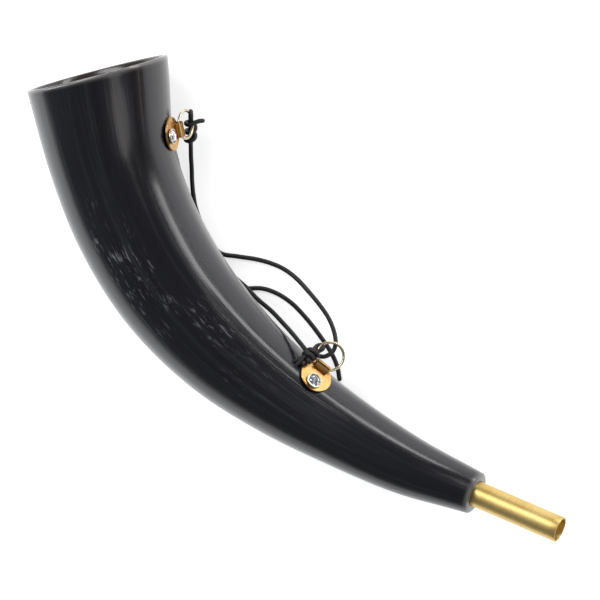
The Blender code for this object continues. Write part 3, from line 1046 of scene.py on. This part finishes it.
@dataclass
class Painter:
    """Builds one node material."""

    name: str

    def __post_init__(self) -> None:
        self.material = bpy.data.materials.new(self.name)
        self.material.use_nodes = True
        self.nodes = self.material.node_tree.nodes
        self.links = self.material.node_tree.links
        self.shader = self.nodes["Principled BSDF"]

    def node(self, kind: str, **values: object) -> bpy.types.Node:
        """A node with some of its inputs or properties set.

        Args:
            kind: the node's type.
            values: inputs by name with underscores for spaces, or properties.

        Returns:
            The node.
        """
        made = self.nodes.new(kind)
        for key, value in values.items():
            socket = key.replace("_", " ")
            if socket in made.inputs:
                made.inputs[socket].default_value = value
            else:
                setattr(made, key, value)
        return made

    def join(self, source: Socket, target: Socket) -> None:
        """Link two sockets."""
        self.links.new(source, target)

    def coordinates(self, kind: str, scale: Triple) -> Socket:
        """Object or UV coordinates, scaled."""
        place = self.node("ShaderNodeTexCoord")
        mapping = self.node("ShaderNodeMapping", Scale=scale)
        self.join(place.outputs[kind], mapping.inputs["Vector"])
        return mapping.outputs["Vector"]

    def noise(self, vector: Socket, scale: float, detail: float = 4.0,
              rough: float = 0.55) -> Socket:
        """A noise value."""
        made = self.node("ShaderNodeTexNoise", Scale=scale, Detail=detail, Roughness=rough)
        self.join(vector, made.inputs["Vector"])
        return made.outputs["Fac"]

    def ramp(self, value: Socket, stops: list[tuple[float, Triple]]) -> Socket:
        """A colour ramp of a value."""
        made = self.node("ShaderNodeValToRGB")
        elements = made.color_ramp.elements
        while len(elements) < len(stops):
            elements.new(0.5)
        for element, (place, colour) in zip(elements, stops):
            element.position = place
            element.color = (*colour, 1)
        self.join(value, made.inputs["Fac"])
        return made.outputs["Color"]

    def rise(self, value: Socket, low: float, high: float) -> Socket:
        """0 below one value, 1 above another."""
        return self.ramp(value, [(low, BLACK), (high, WHITE)])

    def fall(self, value: Socket, low: float, high: float) -> Socket:
        """1 below one value, 0 above another."""
        return self.ramp(value, [(low, WHITE), (high, BLACK)])

    def band(self, value: Socket, start: float, full: float, end: float,
             gone: float) -> Socket:
        """1 in the middle of a range, fading to 0 on both sides."""
        return self.multiply(self.rise(value, start, full), self.fall(value, end, gone))

    def multiply(self, a: Socket, b: Socket | float, operation: str = "MULTIPLY") -> Socket:
        """Arithmetic on two values."""
        made = self.node("ShaderNodeMath", operation=operation)
        self.join(a, made.inputs[0])
        if isinstance(b, (int, float)):
            made.inputs[1].default_value = b
        else:
            self.join(b, made.inputs[1])
        return made.outputs["Value"]

    def mix(self, share: Socket, a: Socket, colour: Triple) -> Socket:
        """A colour mixed towards another by a share."""
        made = self.node("ShaderNodeMix", data_type="RGBA")
        self.join(share, made.inputs[0])
        self.join(a, made.inputs[6])
        made.inputs[7].default_value = (*colour, 1)
        return made.outputs[2]

    def bump(self, value: Socket, strength: float, distance: float) -> None:
        """A bump on the shader's normal."""
        made = self.node("ShaderNodeBump", Strength=strength, Distance=distance)
        self.join(value, made.inputs["Height"])
        self.join(made.outputs["Normal"], self.shader.inputs["Normal"])

    def roughness(self, value: Socket, low: float, high: float) -> None:
        """Roughness between two limits by a value."""
        made = self.node("ShaderNodeMapRange")
        made.inputs["To Min"].default_value = low
        made.inputs["To Max"].default_value = high
        self.join(value, made.inputs["Value"])
        self.join(made.outputs["Result"], self.shader.inputs["Roughness"])

    def set(self, **values: object) -> None:
        """Set the shader's inputs, named with underscores for spaces."""
        for key, value in values.items():
            self.shader.inputs[key.replace("_", " ")].default_value = value

    def colour(self, value: Socket) -> None:
        """Use a colour as the shader's base colour."""
        self.join(value, self.shader.inputs["Base Color"])

    def metal(self, brushing: Socket, patches: Socket, share: float,
              stops: list[tuple[float, Triple]], rough: tuple[float, float],
              depth: float) -> Material:
        """Finish a metal from its brushing and its patches.

        Args:
            brushing: fine noise, also used for the bump.
            patches: coarse noise.
            share: the brushing's share in their blend.
            stops: colours over the blend.
            rough: least and greatest roughness.
            depth: strength of the bump.

        Returns:
            The material.
        """
        blend = self.multiply(self.multiply(brushing, share),
                              self.multiply(patches, 1 - share), "ADD")
        self.colour(self.ramp(blend, stops))
        self.set(Metallic=1.0)
        self.roughness(blend, *rough)
        self.bump(brushing, depth, METAL_BUMP)
        return self.material


def horn_material() -> Material:
    """Polished blue-black horn with streaks along it, flecks, a pale rim, and a painted highlight
    along its edge on the inner curve's side.
    """
    p = Painter("polished_horn")
    split = p.node("ShaderNodeSeparateXYZ")
    p.join(p.coordinates("UV", UNIT), split.inputs["Vector"])
    around, along = split.outputs["X"], split.outputs["Y"]

    def grain(wide: float, long: float, detail: float, rough: float = 0.55) -> Socket:
        """Noise on the skin, finer round the horn by one scale and along it by another."""
        return p.noise(p.coordinates("UV", (wide, long, 1.0)), 1.0, detail, rough)

    streaks, fine = grain(46.0, 2.2, 6.0, 0.62), grain(150.0, 5.0, 4.0, 0.6)
    patches, flecks = grain(7.0, 5.0, 3.0), grain(110.0, 30.0, 3.0, 0.7)
    grey = p.multiply(p.rise(fine, 0.56, 0.72), p.rise(patches, 0.45, 0.70))
    brown = p.multiply(p.multiply(p.rise(streaks, 0.52, 0.64), p.fall(along, 0.0, 0.30)),
                       p.band(around, 0.015, 0.06, 0.14, 0.24))
    spots = p.multiply(p.multiply(p.rise(flecks, 0.56, 0.70), p.rise(patches, 0.47, 0.60)),
                       p.multiply(p.band(along, 0.14, 0.24, 0.52, 0.62),
                                  p.band(around, 0.12, 0.20, 0.34, 0.42)))
    # Painted highlight: a pale grey band, broken by the streaks, along the horn's edge on the inner
    # curve's side from a fifth of the way along, standing in for the light caught there
    edge = p.multiply(p.fall(around, 0.0, 0.045),
                      p.multiply(p.rise(along, 0.10, 0.2), p.rise(streaks, 0.38, 0.62)))
    inside = p.rise(p.multiply(along, -1.0), 0.075, 0.10)
    rim = p.multiply(p.fall(along, 0.0, 0.006), inside, "SUBTRACT")
    base = p.ramp(streaks, [(0.32, (0.0022, 0.0020, 0.0036)), (0.52, (0.0050, 0.0050, 0.0078)),
                            (0.66, (0.014, 0.0145, 0.019)), (0.80, (0.060, 0.062, 0.070))])
    for mask, share, colour in (
            (grey, 0.30, (0.09, 0.092, 0.10)), (brown, 0.60, (0.070, 0.038, 0.018)),
            # edge mixes in the painted highlight, pale grey
            (spots, 0.60, (0.30, 0.30, 0.31)), (edge, 0.55, (0.27, 0.26, 0.25)),
            (rim, 0.8, (0.19, 0.18, 0.17)), (inside, 0.75, (0.035, 0.022, 0.015)),
            (p.rise(along, 0.992, 1.0), 0.75, (0.17, 0.165, 0.16))):
        base = p.mix(p.multiply(mask, share), base, colour)
    p.colour(base)
    p.roughness(streaks, 0.14, 0.34)
    p.set(Specular_IOR_Level=0.5, Coat_Weight=0.25, Coat_Roughness=0.10)
    p.bump(p.multiply(streaks, fine, "ADD"), 0.22, 0.0004)
    return p.material


def metal_material(name: str, metal: Metal) -> Material:
    """A brushed or plated metal.

    Args:
        name: the material's name.
        metal: its colours and finish.

    Returns:
        The material.
    """
    p = Painter(name)
    at = p.coordinates("Object", UNIT)
    return p.metal(p.noise(at, metal.scale, 3.0, 0.6), p.noise(at, metal.scale / 12, 3.0), 0.45,
                   [(0.38, metal.dark), (0.60, metal.light)],
                   (metal.roughness - 0.07, metal.roughness + 0.09), 0.06)


def tube_material() -> Material:
    """Satin brass brushed round the tube, with duller patches."""
    p = Painter("tube_brass")
    return p.metal(p.noise(p.coordinates("UV", (3.0, 260.0, 1.0)), 1.0, 4.0, 0.6),
                   p.noise(p.coordinates("Object", UNIT), 70.0, 4.0), 0.5,
                   [(0.36, (0.60, 0.41, 0.12)), (0.62, (0.78, 0.59, 0.24))], (0.34, 0.50), 0.10)


def crystal_material() -> Material:
    """Clear cut stone over bright foil, with painted reflections: noise patches from dark grey to near
    white stand in for facets that catch the light differently.
    """
    p = Painter("cut_crystal")
    # Painted reflections: the base colour runs from dark grey to near white by noise, in place of
    # facets catching the light
    painted_facet_glints = p.noise(p.coordinates("Object", UNIT), 620.0, 1.0)
    p.colour(p.ramp(painted_facet_glints, [(0.40, (0.24, 0.25, 0.28)), (0.53, (0.92, 0.94, 0.97))]))
    p.set(Metallic=0.75, Roughness=0.04, IOR=1.58, Coat_Weight=1.0, Coat_Roughness=0.02)
    return p.material


def cord_material() -> Material:
    """Black waxed round cord with faint lengthwise creases."""
    p = Painter("black_cord")
    creases = p.noise(p.coordinates("UV", (9.0, 900.0, 1.0)), 1.0, 3.0)
    p.colour(p.ramp(creases, [(0.35, (0.006, 0.006, 0.0065)), (0.68, (0.017, 0.017, 0.018))]))
    p.roughness(creases, 0.42, 0.60)
    p.set(Specular_IOR_Level=0.45)
    p.bump(creases, 0.18, 0.0001)
    return p.material


def floor_material() -> Material:
    """White paper that keeps a soft shadow."""
    p = Painter("white_paper")
    grain = p.noise(p.coordinates("Object", UNIT), 30.0, 2.0)
    p.colour(p.ramp(grain, [(0.3, (0.90, 0.90, 0.90)), (0.7, (0.92, 0.92, 0.92))]))
    p.set(Roughness=0.9, Specular_IOR_Level=0.0, Emission_Color=(1, 1, 1, 1),
          Emission_Strength=0.62)
    return p.material


def make_camera() -> None:
    """The photograph's camera."""
    data = bpy.data.cameras.new("camera")
    data.lens = CAMERA_LENS
    data.sensor_width = 36.0
    data.clip_start, data.clip_end = 0.01, 20.0
    made = put("camera", data)
    tilt = math.sin(CAMERA_TILT)
    back = Vector((tilt * math.cos(CAMERA_AZIMUTH), tilt * math.sin(CAMERA_AZIMUTH),
                   math.cos(CAMERA_TILT)))
    right = (-back).cross(Vector((0, 1, 0))).normalized()
    made.matrix_world = axes_frame(right, right.cross(-back), back,
                                   CAMERA_TARGET + back * CAMERA_DISTANCE)
    bpy.context.scene.camera = made


def make_light(name: str, place: Point, size: tuple[float, float], power: float,
               colour: Triple) -> None:
    """A rectangular soft light.

    Args:
        name: its name.
        place: where it stands.
        size: its width and height.
        power: its power in watts.
        colour: its colour.
    """
    data = bpy.data.lights.new(name, "AREA")
    data.shape = "RECTANGLE"
    data.size, data.size_y = size
    data.energy = power
    data.color = colour
    made = put(name, data)
    made.location = place
    made.rotation_mode = "QUATERNION"
    made.rotation_quaternion = (Vector(LIGHT_TARGET) - Vector(place)).to_track_quat("-Z", "Y")


def make_studio() -> None:
    """Floor, lights and a world that is white only to the camera."""
    shape = Shape()
    shape.close(shape.row([Vector((x * FLOOR_HALF, y * FLOOR_HALF, -FLOOR_DROP))
                           for x, y in ((-1, -1), (1, -1), (1, 1), (-1, 1))]))
    floor = put("floor", shape.mesh("floor", floor_material()))
    for light in LIGHTS:
        make_light(*light)
    world = bpy.data.worlds.new("studio")
    bpy.context.scene.world = world
    world.use_nodes = True
    nodes, links = world.node_tree.nodes, world.node_tree.links
    dim = nodes["Background"]
    dim.inputs["Color"].default_value = (0.60, 0.62, 0.66, 1)
    dim.inputs["Strength"].default_value = 0.30
    white = nodes.new("ShaderNodeBackground")
    white.inputs["Color"].default_value = (1, 1, 1, 1)
    ray = nodes.new("ShaderNodeLightPath")
    chosen = nodes.new("ShaderNodeMixShader")
    links.new(ray.outputs["Is Camera Ray"], chosen.inputs["Fac"])
    links.new(dim.outputs["Background"], chosen.inputs[1])
    links.new(white.outputs["Background"], chosen.inputs[2])
    links.new(chosen.outputs["Shader"], nodes["World Output"].inputs["Surface"])
    bpy.context.scene.view_settings.view_transform = "Standard"


def paint_cad(node: str, finish: Material) -> None:
    """Give a CAD node that stays in view its procedural material."""
    shown = bpy.data.objects[node]
    for part_slot in shown.material_slots:
        part_slot.material = finish


def main() -> None:
    """Build the whole scene."""
    logging.basicConfig(level=logging.INFO)
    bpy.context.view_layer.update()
    make_camera()
    gilt = metal_material("gilt_sheet", Metal((0.62, 0.38, 0.145), (0.47, 0.27, 0.085), 0.30, 260.0))
    ring_finish = metal_material("pale_gilt", Metal((0.74, 0.65, 0.47), (0.42, 0.33, 0.19), 0.24,
                                                    300.0))
    silver = metal_material("silvered", Metal((0.74, 0.71, 0.62), (0.50, 0.47, 0.40), 0.24))
    glass = crystal_material()
    HornBody(horn_material(), tube_material()).build()
    claws = claw_group(silver)
    for place in HANGERS:
        Hanger(place, gilt, ring_finish, silver, glass, claws).build()
        paint_cad(place.name + "_rivet_post", silver)
    Cord(cord_material()).build()
    make_studio()


if __name__ == "__main__":
    main()
